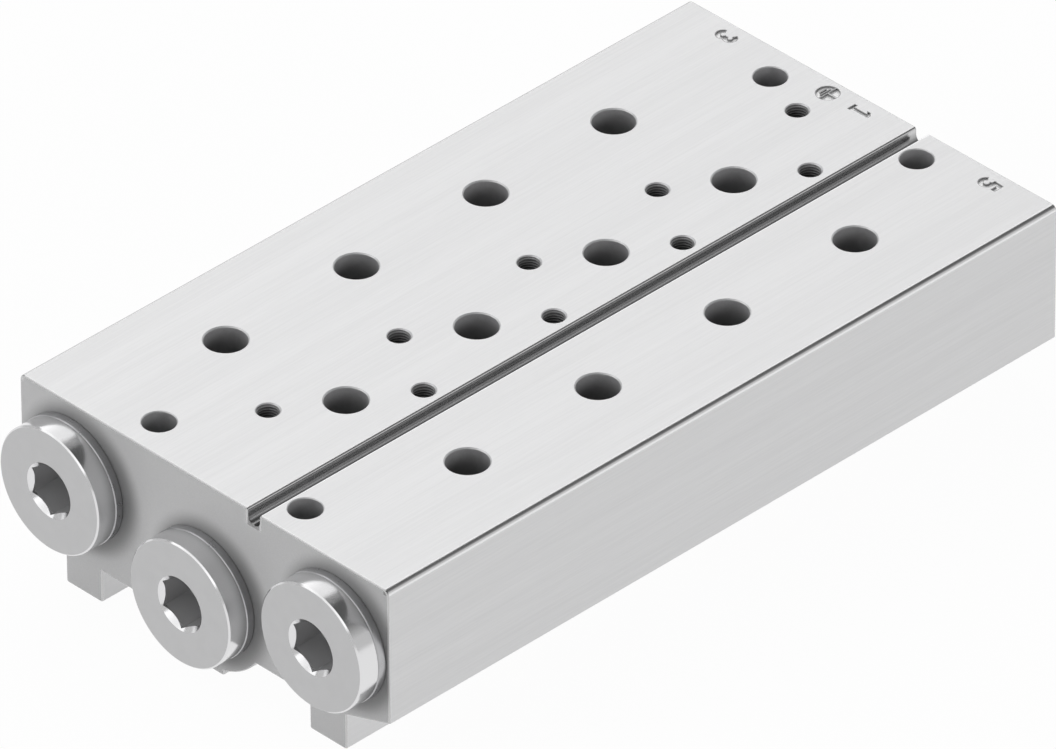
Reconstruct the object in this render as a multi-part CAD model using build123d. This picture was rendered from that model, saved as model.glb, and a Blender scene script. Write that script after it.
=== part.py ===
"""Valve connection block: an extruded aluminium rail for four valves, closed at one end by three screw plugs.

The origin is the middle of the rail's length and width, on the plane of its feet. X runs across the rail,
Y along it towards the open ports, and Z up to the face that the valves sit on. Sizes are millimetres.
"""

from build123d import *
import math
import os

# Rail, measured over its whole section
RAIL_LENGTH = 145.0
RAIL_WIDTH = 81.0
RAIL_HEIGHT = 34.5
SIDE_WALL_HEIGHT = 24.8
LONG_EDGE_RADIUS = 0.75
END_CHAMFER = 0.3

# Underside: two outer feet, a middle foot and the bulge that carries the middle channel
FOOT_WIDTH = 8.0
FOOT_OFFSET = 27.0
FOOT_OUTER_HEIGHT = 6.6
FOOT_CORNER_RADIUS = 0.4
WEB_HEIGHT = 6.0
MIDDLE_FOOT_WIDTH = 8.0
BULGE_DIAMETER = 27.6

# Round-bottomed marking groove along the valve face
GROOVE_OFFSET = 11.2
GROOVE_WIDTH = 2.5
GROOVE_DEPTH = 2.5
GROOVE_LIP_RADIUS = 0.45

# Channels along the rail, with a G3/8 thread at both ends of each
CHANNEL_DIAMETER = 14.0
CHANNEL_SPACING = 28.9
OUTER_CHANNEL_DEPTH = 13.75
MIDDLE_CHANNEL_DEPTH = 20.4
PORT_THREAD_DIAMETER = 16.66
PORT_THREAD_LENGTH = 13.0
PORT_MOUTH_CHAMFER = 0.4

# Valve stations: one hole into each channel and two tapped screw holes
STATION_COUNT = 4
STATION_PITCH = 28.0
VALVE_HOLE_DIAMETER = 7.0
VALVE_HOLE_CHAMFER = 0.2
VALVE_HOLE_SPACING = 24.65
VALVE_HOLE_STAGGER = 1.88
SCREW_THREAD_DIAMETER = 4.0
SCREW_CORE_DIAMETER = 3.3
SCREW_THREAD_DEPTH = 8.0
SCREW_CORE_DEPTH = 10.0
SCREW_MOUTH_CHAMFER = 0.1
SCREW_OFFSET_X = 6.5
SCREW_OFFSET_Y = 10.3
DRILL_POINT_ANGLE = 118.0

# Earthing screw hole, in line with the left screw holes
EARTH_HOLE_FROM_END = 9.95

# Mounting holes, right through the rail
MOUNTING_HOLE_DIAMETER = 5.5
MOUNTING_HOLE_CHAMFER = 0.15
MOUNTING_HOLE_OFFSET = 16.1
MOUNTING_HOLE_FROM_END = 6.3

# Screw plugs and their sealing rings
PLUG_HEAD_DIAMETER = 22.0
PLUG_HEAD_THICKNESS = 3.7
PLUG_FRONT_CHAMFER = 0.25
PLUG_BACK_CHAMFER = 0.12
PLUG_SHANK_LENGTH = 12.0
PLUG_THREAD_CLEARANCE = 0.05
PLUG_NECK_DIAMETER = 14.4
PLUG_NECK_LENGTH = 2.4
PLUG_TIP_CHAMFER = 1.0
SOCKET_ACROSS_FLATS = 8.0
SOCKET_DEPTH = 6.0
SOCKET_MOUTH_DIAMETER = 9.7
SOCKET_MOUTH_ANGLE = 90.0
RING_DIAMETER = 22.2
RING_THICKNESS = 1.5
RING_BORE_CLEARANCE = 0.2
RING_EDGE_CHAMFER = 0.15

# A cutting tool reaches this far past the face that it opens into
TOOL_OVERRUN = 1.0

NEAR_END = -RAIL_LENGTH / 2
FAR_END = RAIL_LENGTH / 2
OUTER_CHANNEL_Z = RAIL_HEIGHT - OUTER_CHANNEL_DEPTH
MIDDLE_CHANNEL_Z = RAIL_HEIGHT - MIDDLE_CHANNEL_DEPTH
PLUG_THREAD_DIAMETER = PORT_THREAD_DIAMETER - 2 * PLUG_THREAD_CLEARANCE
CHANNELS = {
    "3": (-CHANNEL_SPACING, OUTER_CHANNEL_Z),
    "1": (0.0, MIDDLE_CHANNEL_Z),
    "5": (CHANNEL_SPACING, OUTER_CHANNEL_Z),
}


def cone_depth(radius, included_angle):
    """Depth of a cone of this base radius and included angle."""
    return radius / math.tan(math.radians(included_angle / 2))


def hole_tool(diameter, depth, mouth_chamfer, point_angle=None):
    """A drilled hole's volume, down from the local Z = 0 face, with a chamfered mouth and a pointed end."""
    radius = diameter / 2
    rim = radius + mouth_chamfer
    points = [(0, TOOL_OVERRUN), (rim, TOOL_OVERRUN)]
    if mouth_chamfer:
        points += [(rim, 0), (radius, -mouth_chamfer)]
    tip_depth = depth + cone_depth(radius, point_angle) if point_angle else depth
    points += [(radius, -depth), (0, -tip_depth)]
    profile = make_face(Polyline(*points, close=True))
    return revolve(Plane.XZ * profile, Axis.Z)


def rail_section():
    """The extruded outline, drawn with local x across the rail and local y up."""
    half_width = RAIL_WIDTH / 2
    foot_outside = FOOT_OFFSET + FOOT_WIDTH / 2
    foot_inside = FOOT_OFFSET - FOOT_WIDTH / 2
    half_outline = Polyline(
        (0, RAIL_HEIGHT),
        (half_width, RAIL_HEIGHT),
        (half_width, RAIL_HEIGHT - SIDE_WALL_HEIGHT),
        (foot_outside, FOOT_OUTER_HEIGHT),
        (foot_outside, 0),
        (foot_inside, 0),
        (foot_inside, WEB_HEIGHT),
        (0, WEB_HEIGHT),
        close=True,
    )
    right_half = make_face(half_outline)
    bulge = Pos(0, MIDDLE_CHANNEL_Z) * Circle(BULGE_DIAMETER / 2)
    middle_foot = Pos(0, MIDDLE_CHANNEL_Z / 2) * Rectangle(MIDDLE_FOOT_WIDTH, MIDDLE_CHANNEL_Z)
    section = right_half + mirror(right_half, Plane.YZ) + bulge + middle_foot
    floor_z = RAIL_HEIGHT - GROOVE_DEPTH + GROOVE_WIDTH / 2
    wall_height = RAIL_HEIGHT - floor_z + TOOL_OVERRUN
    groove = Pos(GROOVE_OFFSET, floor_z + wall_height / 2) * Rectangle(GROOVE_WIDTH, wall_height)
    groove += Pos(GROOVE_OFFSET, floor_z) * Circle(GROOVE_WIDTH / 2)
    section -= groove
    section = fillet(section.vertices().group_by(Axis.Y)[0], FOOT_CORNER_RADIUS)
    top_corners = section.vertices().group_by(Axis.Y)[-1].sort_by(Axis.X)
    section = fillet(top_corners[1:-1], GROOVE_LIP_RADIUS)
    top_corners = section.vertices().group_by(Axis.X)[0] + section.vertices().group_by(Axis.X)[-1]
    outer_corners = top_corners.filter_by_position(Axis.Y, RAIL_HEIGHT - 0.01, RAIL_HEIGHT + 0.01)
    return fillet(outer_corners, LONG_EDGE_RADIUS)


def station_centres():
    """The middle valve hole of each station, from the near end to the far end."""
    first = -STATION_PITCH * (STATION_COUNT - 1) / 2
    return [first + STATION_PITCH * index for index in range(STATION_COUNT)]


def valve_hole_tools():
    """The holes from the valve face down into the three channels."""
    tools = []
    outer = hole_tool(VALVE_HOLE_DIAMETER, OUTER_CHANNEL_DEPTH, VALVE_HOLE_CHAMFER)
    middle = hole_tool(VALVE_HOLE_DIAMETER, MIDDLE_CHANNEL_DEPTH, VALVE_HOLE_CHAMFER)
    for y in station_centres():
        tools.append(Pos(-VALVE_HOLE_SPACING, y - VALVE_HOLE_STAGGER, RAIL_HEIGHT) * outer)
        tools.append(Pos(0, y, RAIL_HEIGHT) * middle)
        tools.append(Pos(VALVE_HOLE_SPACING, y + VALVE_HOLE_STAGGER, RAIL_HEIGHT) * outer)
    return tools


def tapped_hole_tools():
    """The valve screw holes, two to a station, and the earthing screw hole."""
    thread = hole_tool(SCREW_THREAD_DIAMETER, SCREW_THREAD_DEPTH, SCREW_MOUTH_CHAMFER)
    core = hole_tool(SCREW_CORE_DIAMETER, SCREW_CORE_DEPTH, 0, DRILL_POINT_ANGLE)
    tapped = thread + core
    places = [(-SCREW_OFFSET_X, FAR_END - EARTH_HOLE_FROM_END)]
    for y in station_centres():
        places.append((-SCREW_OFFSET_X, y - SCREW_OFFSET_Y))
        places.append((SCREW_OFFSET_X, y + SCREW_OFFSET_Y))
    return [Pos(x, y, RAIL_HEIGHT) * tapped for x, y in places]


def mounting_hole_tools():
    """The four plain holes right through the rail, near its ends."""
    tool = hole_tool(MOUNTING_HOLE_DIAMETER, RAIL_HEIGHT + TOOL_OVERRUN, MOUNTING_HOLE_CHAMFER)
    offset_y = RAIL_LENGTH / 2 - MOUNTING_HOLE_FROM_END
    return [
        Pos(x, y, RAIL_HEIGHT) * tool
        for x in (-MOUNTING_HOLE_OFFSET, MOUNTING_HOLE_OFFSET)
        for y in (-offset_y, offset_y)
    ]


def end_plane(x, z, end, outward):
    """A plane on a rail end at a channel's axis, facing out of the rail, with its local y pointing up."""
    return Plane(origin=(x, end, z), x_dir=(-outward, 0, 0), z_dir=(0, outward, 0))


def channel_tools():
    """The three channels along the rail, each with a threaded port at both ends."""
    tools = []
    port = hole_tool(PORT_THREAD_DIAMETER, PORT_THREAD_LENGTH, PORT_MOUTH_CHAMFER)
    for x, z in CHANNELS.values():
        channel = Cylinder(CHANNEL_DIAMETER / 2, RAIL_LENGTH)
        tools.append(Pos(x, 0, z) * Rot(90, 0, 0) * channel)
        tools.append(end_plane(x, z, NEAR_END, -1) * port)
        tools.append(end_plane(x, z, FAR_END, 1) * port)
    return tools


def rail_body():
    """The extruded rail with its chamfered ends, drilled from above and from both ends."""
    body = extrude(Plane.XZ * rail_section(), amount=RAIL_LENGTH / 2, both=True)
    ends = body.faces().sort_by(Axis.Y)
    end_edges = ends[0].outer_wire().edges() + ends[-1].outer_wire().edges()
    body = chamfer(end_edges, END_CHAMFER)
    for tools in (channel_tools(), valve_hole_tools(), tapped_hole_tools(), mounting_hole_tools()):
        body -= tools
    return body


def hex_socket():
    """The key socket's volume, down from the local Z = 0 face, with two corners on the local y axis."""
    across_corners = SOCKET_ACROSS_FLATS / math.cos(math.radians(30))
    hexagon = RegularPolygon(across_corners / 2, 6, rotation=90)
    drilled_floor = hole_tool(SOCKET_ACROSS_FLATS, SOCKET_DEPTH, 0, DRILL_POINT_ANGLE)
    mouth = Cone(
        0,
        SOCKET_MOUTH_DIAMETER / 2,
        cone_depth(SOCKET_MOUTH_DIAMETER / 2, SOCKET_MOUTH_ANGLE),
        align=(Align.CENTER, Align.CENTER, Align.MAX),
    )
    return extrude(hexagon, -SOCKET_DEPTH) + drilled_floor + mouth


def screw_plug():
    """A plug about its local Z axis: the head's seat is at Z = 0, with the shank below and the head above."""
    head_radius = PLUG_HEAD_DIAMETER / 2
    thread_radius = PLUG_THREAD_DIAMETER / 2
    neck_radius = PLUG_NECK_DIAMETER / 2
    thread_run_out = thread_radius - neck_radius
    profile = Polyline(
        (0, PLUG_HEAD_THICKNESS),
        (head_radius - PLUG_FRONT_CHAMFER, PLUG_HEAD_THICKNESS),
        (head_radius, PLUG_HEAD_THICKNESS - PLUG_FRONT_CHAMFER),
        (head_radius, PLUG_BACK_CHAMFER),
        (head_radius - PLUG_BACK_CHAMFER, 0),
        (neck_radius, 0),
        (neck_radius, -PLUG_NECK_LENGTH),
        (thread_radius, -PLUG_NECK_LENGTH - thread_run_out),
        (thread_radius, -PLUG_SHANK_LENGTH + PLUG_TIP_CHAMFER),
        (thread_radius - PLUG_TIP_CHAMFER, -PLUG_SHANK_LENGTH),
        (0, -PLUG_SHANK_LENGTH),
        close=True,
    )
    plug = revolve(Plane.XZ * make_face(profile), Axis.Z)
    return plug - Pos(0, 0, PLUG_HEAD_THICKNESS) * hex_socket()


def sealing_ring():
    """The flat ring about its local Z axis, standing on Z = 0."""
    outside = RING_DIAMETER / 2
    bore = PLUG_THREAD_DIAMETER / 2 + RING_BORE_CLEARANCE
    profile = Polyline(
        (bore, 0),
        (outside - RING_EDGE_CHAMFER, 0),
        (outside, RING_EDGE_CHAMFER),
        (outside, RING_THICKNESS - RING_EDGE_CHAMFER),
        (outside - RING_EDGE_CHAMFER, RING_THICKNESS),
        (bore, RING_THICKNESS),
        close=True,
    )
    return revolve(Plane.XZ * make_face(profile), Axis.Z)


def all_pieces():
    """Every physical piece by node name."""
    pieces = {"valve_block_body": rail_body()}
    plug = screw_plug()
    ring = sealing_ring()
    for port, (x, z) in CHANNELS.items():
        seat = end_plane(x, z, NEAR_END, -1)
        pieces[f"sealing_ring_port_{port}"] = seat * ring
        pieces[f"screw_plug_port_{port}"] = seat * Pos(0, 0, RING_THICKNESS) * plug
    return pieces


os.makedirs("parts", exist_ok=True)
for node, solid in all_pieces().items():
    solid.label = node
    export_step(solid, f"parts/{node}.step")
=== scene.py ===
"""A valve connection block: an aluminium rail for four valves, three screw plugs and their sealing rings.

The block is dressed over its packed CAD model, in metres and in the same frame: X across the rail,
Y along it towards the open ports, Z up from the plane of its feet.
"""

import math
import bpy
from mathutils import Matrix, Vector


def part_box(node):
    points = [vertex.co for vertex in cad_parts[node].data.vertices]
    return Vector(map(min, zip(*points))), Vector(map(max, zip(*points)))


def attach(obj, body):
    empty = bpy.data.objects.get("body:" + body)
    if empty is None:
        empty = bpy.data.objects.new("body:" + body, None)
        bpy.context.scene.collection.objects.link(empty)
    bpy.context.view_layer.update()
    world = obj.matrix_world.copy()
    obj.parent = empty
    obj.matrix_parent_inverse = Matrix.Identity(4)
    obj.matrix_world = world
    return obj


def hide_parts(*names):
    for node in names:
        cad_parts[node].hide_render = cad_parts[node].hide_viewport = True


bl_info = {
    "name": "Valve connection block",
    "version": (1, 0, 0),
    "blender": (4, 5, 0),
    "location": "3D View > Sidebar > Valve block",
    "description": "Models a four station valve rail with its plugs, sealing rings and stage",
    "category": "Add Mesh",
}

import bmesh
import bpy
from bpy.props import FloatProperty, FloatVectorProperty, IntProperty, PointerProperty
from mathutils import Matrix, Vector

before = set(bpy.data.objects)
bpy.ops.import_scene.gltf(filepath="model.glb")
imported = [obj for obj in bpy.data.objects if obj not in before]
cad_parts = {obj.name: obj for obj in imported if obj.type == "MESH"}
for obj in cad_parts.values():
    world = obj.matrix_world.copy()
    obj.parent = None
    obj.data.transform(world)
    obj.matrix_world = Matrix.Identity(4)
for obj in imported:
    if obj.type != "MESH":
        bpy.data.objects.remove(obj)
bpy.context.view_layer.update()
RAIL_LOW, RAIL_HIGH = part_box("valve_block_body")
PLUG_LOW, PLUG_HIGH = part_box("screw_plug_port_1")
RING_LOW, RING_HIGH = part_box("sealing_ring_port_1")
RAIL_SIZE = RAIL_HIGH - RAIL_LOW
PLUG_SIZE = PLUG_HIGH - PLUG_LOW
RING_SIZE = RING_HIGH - RING_LOW
MM = 0.001

# Millimetres that a cutting tool reaches past the face where it starts, and a thread's tool past the crests.
PAST = 1
PAST_PORT_CREST = 0.3
PAST_SCREW_CREST = 0.2

# Points nearer to one another than the first are made one; a sketch leaves out a run shorter than the second.
TOUCHING = 1e-5
SHORTEST = 1e-4

# Degrees of a drill's point, and from a thread's flanks to the plane across its axis.
DRILL_POINT = 118
PORT_FLANK = 27.5
SCREW_FLANK = 30

# Edges that turn by more degrees than this are shaded as sharp.
SHARP = 28

# Flat facets round each kind of turned shape.
HEAD_FACETS = 144
PORT_FACETS = 96
VALVE_HOLE_FACETS = 80
MOUNTING_HOLE_FACETS = 64
SCREW_HOLE_FACETS = 48
SOCKET_FLOOR_FACETS = 48
SOCKET_MOUTH_FACETS = 96
SIGN_FACETS = 64
FLOOR_FACETS = 96

# Steps to one turn of each thread.
PORT_THREAD_STEPS = 48
PLUG_THREAD_STEPS = 72
SCREW_THREAD_STEPS = 30

# Material slots of the rail, in the order in which its finishes are made.
DRILLED = 1
ENGRAVED = 2
FLANKS = 3


def measured(name, description, metres):
    """A size in metres, which the panel shows in the scene's own unit."""
    return FloatProperty(name=name, description=description, default=metres, unit="LENGTH", precision=5)


def length(name, description, millimetres):
    """A size that is given in millimetres."""
    return measured(name, description, millimetres * MM)


def power(name, description, watts):
    """The power of a lamp."""
    return FloatProperty(name=name, description=description, default=watts, unit="POWER")


def angle(name, description, degrees):
    """An angle that is given in degrees."""
    return FloatProperty(name=name, description=description, default=math.radians(degrees), subtype="ANGLE")


def colour(name, description, red, green, blue):
    """A colour in linear light."""
    return FloatVectorProperty(
        name=name, description=description, default=(red, green, blue), subtype="COLOR", min=0.0, max=1.0
    )


class RailSizes(bpy.types.PropertyGroup):
    """The extruded rail and everything cut into it."""

    length: measured("Length", "End face to end face", RAIL_SIZE.y)
    width: measured("Width", "Over the two side walls", RAIL_SIZE.x)
    height: measured("Height", "Feet to valve face", RAIL_SIZE.z)
    side_wall: length("Side wall", "Height of the flat side walls below the valve face", 24.8)
    long_edge: length("Long edge radius", "Rounding of the two long edges of the valve face", 1)
    end_edge: length("End edge radius", "Rounding of the edges of both end faces", 0.3)
    foot_offset: length("Foot offset", "Rail axis to the middle of an outer foot", 27)
    foot_width: length("Foot width", "Width of each outer foot", 8)
    foot_height: length("Foot height", "Outside height of the outer feet", 6.6)
    foot_corner: length("Foot corner radius", "Rounding of the feet's lower corners", 0.4)
    web_height: length("Web height", "Feet to the underside between them", 6)
    middle_foot: length("Middle foot", "Width of the foot under the middle channel", 8)
    bulge: length("Bulge", "Diameter of the wall round the middle channel", 27.6)
    groove_offset: length("Groove offset", "Rail axis to the marking groove", 11.2)
    groove_width: length("Groove width", "Width of the round-bottomed groove", 2.5)
    groove_depth: length("Groove depth", "Depth of the round-bottomed groove", 2.5)
    groove_lip: length("Groove lip radius", "Rounding of the groove's two lips", 0.45)
    channel: length("Channel", "Diameter of the three channels", 14)
    channel_spacing: length("Channel spacing", "Middle channel to outer channel, across the rail", 28.9)
    outer_depth: length("Outer channel depth", "Valve face to the axis of an outer channel", 13.75)
    middle_depth: length("Middle channel depth", "Valve face to the axis of the middle channel", 20.4)
    port_major: length("Port thread", "Outer diameter of the port threads", 16.66)
    port_minor: length("Port core", "Core diameter of the port threads", 14.95)
    port_pitch: length("Port pitch", "Advance of the port threads in one turn", 1.337)
    port_length: length("Port depth", "Depth of the port threads", 13)
    port_mouth: length("Port mouth", "Chamfer at the port mouths, over the thread", 0.4)
    stations: IntProperty(name="Stations", description="Number of valves on the rail", default=4, min=1)
    station_pitch: length("Station pitch", "Distance from valve to valve", 28)
    valve_hole: length("Valve hole", "Diameter of the holes into the channels", 7)
    valve_hole_edge: length("Valve hole edge", "Chamfer at the valve holes", 0.2)
    valve_spacing: length("Valve hole spacing", "Rail axis to the outer rows of valve holes", 24.65)
    valve_stagger: length("Valve hole stagger", "Shift of the outer rows along the rail", 1.88)
    screw_major: length("Screw thread", "Outer diameter of the valve screw threads", 4)
    screw_minor: length("Screw crest", "Crest diameter of the valve screw threads", 3.46)
    screw_pitch: length("Screw pitch", "Advance of the screw threads in one turn", 0.5)
    screw_core: length("Screw core", "Diameter of the screw holes below the threads", 3.3)
    screw_depth: length("Screw thread depth", "Depth of the screw threads", 8)
    screw_core_depth: length("Screw core depth", "Depth of the screw holes to the drill's shoulder", 10)
    screw_edge: length("Screw hole edge", "Chamfer at the screw holes, over the thread", 0.05)
    screw_x: length("Screw offset across", "Station axis to screw hole, across the rail", 6.5)
    screw_y: length("Screw offset along", "Station axis to screw hole, along the rail", 10.3)
    earth_from_end: length("Earth hole", "Far end to the earthing screw hole", 9.95)
    mounting_hole: length("Mounting hole", "Diameter of the four mounting holes", 5.5)
    mounting_edge: length("Mounting hole edge", "Chamfer at the mounting holes", 0.15)
    mounting_x: length("Mounting hole offset", "Rail axis to the mounting holes", 16.1)
    mounting_from_end: length("Mounting hole from end", "End face to the mounting holes", 6.3)
    sign_height: length("Sign height", "Height of the engraved figures", 3.95)
    sign_line: length("Sign line", "Width of the engraved lines", 0.72)
    sign_depth: length("Sign depth", "Depth of the engraved signs", 0.35)
    sign_edge: length("Sign edge", "Width of the shallow step round the engraved lines", 0.11)
    sign_step: length("Sign step", "Depth of that step", 0.02)
    sign_from_end: length("Signs from end", "Far end to the middle of the signs", 3.2)


class PlugSizes(bpy.types.PropertyGroup):
    """A hex socket screw plug."""

    head: measured("Head", "Diameter of the head", PLUG_SIZE.x)
    head_thickness: length("Head thickness", "Seat to front face", 3.7)
    front_chamfer: length("Front chamfer", "Chamfer at the head's front edge", 0.25)
    back_chamfer: length("Back chamfer", "Chamfer at the head's seat", 0.12)
    shank: length("Shank", "Length of the shank below the head", 12)
    clearance: length("Thread clearance", "Radial play between plug thread and port thread", 0.05)
    neck: length("Neck", "Diameter of the plain neck below the head", 14.4)
    neck_length: length("Neck length", "Length of the plain neck", 2.4)
    tip_chamfer: length("Tip chamfer", "Chamfer at the shank's end", 1)
    key: length("Key size", "Across the flats of the key socket", 8)
    key_depth: length("Key depth", "Depth of the key socket", 6)
    mouth: length("Socket mouth", "Diameter of the cone at the socket's mouth", 9.7)


class RingSizes(bpy.types.PropertyGroup):
    """A flat metal sealing ring."""

    outside: measured("Outside", "Diameter of the ring", RING_SIZE.x)
    thickness: measured("Thickness", "Thickness of the ring", RING_SIZE.y)
    bore_clearance: length("Bore clearance", "Radial play between ring and plug thread", 0.2)
    edge: length("Edge chamfer", "Chamfer at the ring's outer edges", 0.15)


class Finishes(bpy.types.PropertyGroup):
    """Colours of the metals."""

    rail: colour("Rail", "Clear anodised aluminium", 0.78, 0.78, 0.785)
    cut: colour("Cut aluminium", "Drilled and tapped places", 0.74, 0.74, 0.75)
    steel: colour("Plated steel", "Screw plugs", 0.525, 0.525, 0.53)
    ring: colour("Sealing ring", "Turned aluminium", 0.49, 0.49, 0.5)


class StageSettings(bpy.types.PropertyGroup):
    """Camera, lamps and floor."""

    azimuth: angle("Azimuth", "Camera bearing round the object", 45.677)
    elevation: angle("Elevation", "Camera height over the horizon", 35.198)
    roll: angle("Roll", "Camera turn about its own axis", -0.368)
    distance: measured("Distance", "Camera to the aimed point", 2.9711)
    aim: FloatVectorProperty(
        name="Aim",
        description="Point in the middle of the picture",
        default=(-0.00291, -0.00021, 0.017),
        subtype="XYZ",
    )
    lens: FloatProperty(
        name="Lens", description="Focal length on a 36 mm sensor", default=653.68, unit="CAMERA"
    )
    floor: colour("Floor", "Colour of the studio floor", 0.95, 0.95, 0.95)
    sky: FloatProperty(name="Room light", description="Strength of light from overhead", default=0.11)
    horizon: FloatProperty(name="Horizon light", description="Strength of light from all round", default=0.6)
    key: power("Softbox", "Power of the overhead softbox", 7.3)
    back: power("Back softbox", "Power of the softbox behind the object", 2.55)
    fill: power("Fill", "Power of the side fill", 11.0)
    front: power("Front card", "Power of the wide lamp in front", 8.1)
    low: power("Low lamp", "Power of the low lamp in front on the left", 8.3)


class Sketch:
    """A bmesh outline drawn with straight runs and arcs, in the local X-Z plane."""

    def __init__(self, bm, x, z):
        self.bm = bm
        self.first = self.last = bm.verts.new((x, 0, z))

    def line(self, x, z):
        """Draws on to a point, left out where the pen is there already."""
        if (self.last.co - Vector((x, 0, z))).length > SHORTEST:
            vert = self.bm.verts.new((x, 0, z))
            self.bm.edges.new((self.last, vert))
            self.last = vert
        return self

    def arc(self, x, z, degrees, steps=8):
        """Swings the pen round a centre, clockwise as seen along +Y for positive degrees."""
        swing = math.radians(degrees)
        swung = bmesh.ops.spin(
            self.bm, geom=[self.last], cent=(x, 0, z), axis=(0, 1, 0), angle=swing, steps=steps
        )
        self.last = [item for item in swung["geom_last"] if isinstance(item, bmesh.types.BMVert)][0]
        return self

    def close(self):
        """Joins the ends and fills the outline with one face."""
        self.bm.edges.new((self.last, self.first))
        return bmesh.ops.contextual_create(self.bm, geom=self.bm.edges[:])["faces"][0]


def drawn(bm, points):
    """A sketch with a straight run from each point to the next."""
    pen = Sketch(bm, *points[0])
    for point in points[1:]:
        pen.line(*point)
    return pen


def extrude(bm, face, distance):
    """Extrudes a face along Y."""
    raised = bmesh.ops.extrude_face_region(bm, geom=[face])
    verts = [item for item in raised["geom"] if isinstance(item, bmesh.types.BMVert)]
    bmesh.ops.translate(bm, verts=verts, vec=(0, distance, 0))


def full_turn(bm, steps):
    """Spins everything in the bmesh once round the Z axis and merges the points that meet."""
    geometry = bm.verts[:] + bm.edges[:]
    bmesh.ops.spin(
        bm, geom=geometry, cent=(0, 0, 0), axis=(0, 0, 1), angle=math.tau, steps=steps, use_merge=True
    )
    bmesh.ops.remove_doubles(bm, verts=bm.verts[:], dist=TOUCHING)


def turned(points, steps, hollow=False):
    """A body turned about local Z; its half profile ends on the axis or, if hollow, closes on itself."""
    bm = bmesh.new()
    pen = drawn(bm, points)
    if hollow:
        bm.edges.new((pen.last, pen.first))
    full_turn(bm, steps)
    bmesh.ops.recalc_face_normals(bm, faces=bm.faces[:])
    return bm


def thread_turns(profile, pitch, top, bottom, steps):
    """A right-hand helical body about local Z: the closed profile swept down from one height to another."""
    count = round((top - bottom) / pitch * steps)
    bm = bmesh.new()
    face = drawn(bm, profile).close()
    bmesh.ops.translate(bm, verts=bm.verts[:], vec=(0, 0, top))
    bmesh.ops.spin(
        bm,
        geom=[face] + list(face.edges) + list(face.verts),
        cent=(0, 0, 0),
        axis=(0, 0, 1),
        dvec=(0, 0, -pitch / steps),
        angle=-math.tau * count / steps,
        steps=count,
    )
    bmesh.ops.recalc_face_normals(bm, faces=bm.faces[:])
    return bm


def stamped(*stamps):
    """One bmesh with a copy of each bmesh at each of its places, from (bmesh, matrices) pairs."""
    whole = bmesh.new()
    for part, matrices in stamps:
        for matrix in matrices:
            mesh = bpy.data.meshes.new("stamp")
            part.to_mesh(mesh)
            mesh.transform(matrix)
            whole.from_mesh(mesh)
            bpy.data.meshes.remove(mesh)
        part.free()
    return whole


def mesh_object(name, bm, slot=0):
    """A linked object with smooth faces from a bmesh; every face takes the given material slot."""
    for face in bm.faces:
        face.material_index = slot
        face.smooth = True
    mesh = bpy.data.meshes.new(name)
    bm.to_mesh(mesh)
    bm.free()
    obj = bpy.data.objects.new(name, mesh)
    bpy.context.scene.collection.objects.link(obj)
    return obj


def apply_modifier(obj, kind, settings):
    """Replaces the object's mesh by what the modifier makes of it."""
    modifier = obj.modifiers.new(kind.lower(), kind)
    for name, value in settings.items():
        setattr(modifier, name, value)
    depsgraph = bpy.context.evaluated_depsgraph_get()
    result = bpy.data.meshes.new_from_object(
        obj.evaluated_get(depsgraph), preserve_all_data_layers=True, depsgraph=depsgraph
    )
    obj.modifiers.clear()
    old, obj.data = obj.data, result
    bpy.data.meshes.remove(old)
    result.name = obj.name


def cut_out(obj, bm, slot=0):
    """Cuts the bmesh out of the object; the walls of the cut take the given material slot."""
    tool = mesh_object("tool", bm, slot)
    apply_modifier(obj, "BOOLEAN", {"operation": "DIFFERENCE", "solver": "MANIFOLD", "object": tool})
    bpy.data.meshes.remove(tool.data)


def finish_mesh(obj):
    """Brings a piece from millimetres to metres, with crisp edges and even shading on its flats."""
    obj.data.transform(Matrix.Scale(MM, 4))
    obj.data.set_sharp_from_angle(angle=math.radians(SHARP))
    apply_modifier(obj, "WEIGHTED_NORMAL", {"keep_sharp": True, "weight": 80})


class Millimetres:
    """Reads the lengths of a property group in millimetres, in which the shapes are drawn."""

    def __init__(self, group):
        self.group = group

    def __getattr__(self, name):
        return getattr(self.group, name) / MM


def channel_places(sizes):
    """Axis position of each channel in X and Z, in millimetres, by port number."""
    across = sizes.channel_spacing
    outer = sizes.height - sizes.outer_depth
    middle = sizes.height - sizes.middle_depth
    return {"3": (-across, outer), "1": (0.0, middle), "5": (across, outer)}


def end_matrix(x, y, z, outward):
    """Places a body turned about local Z on a rail end, its local Z pointing out of the rail."""
    turn = Matrix.Rotation(math.radians(90 if outward < 0 else -90), 4, "X")
    return Matrix.Translation((x, y, z)) @ turn


def hole_profile(radius, depth, rim, point_angle=None):
    """Half profile of a hole below Z = 0, with a 45 degree mouth; it ends flat or in a drill's point."""
    profile = [(0, PAST), (rim, PAST), (rim, 0), (radius, radius - rim)]
    tip = depth + radius / math.tan(math.radians(point_angle / 2)) if point_angle else depth
    return profile + [(radius, -depth), (0, -tip)]


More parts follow.
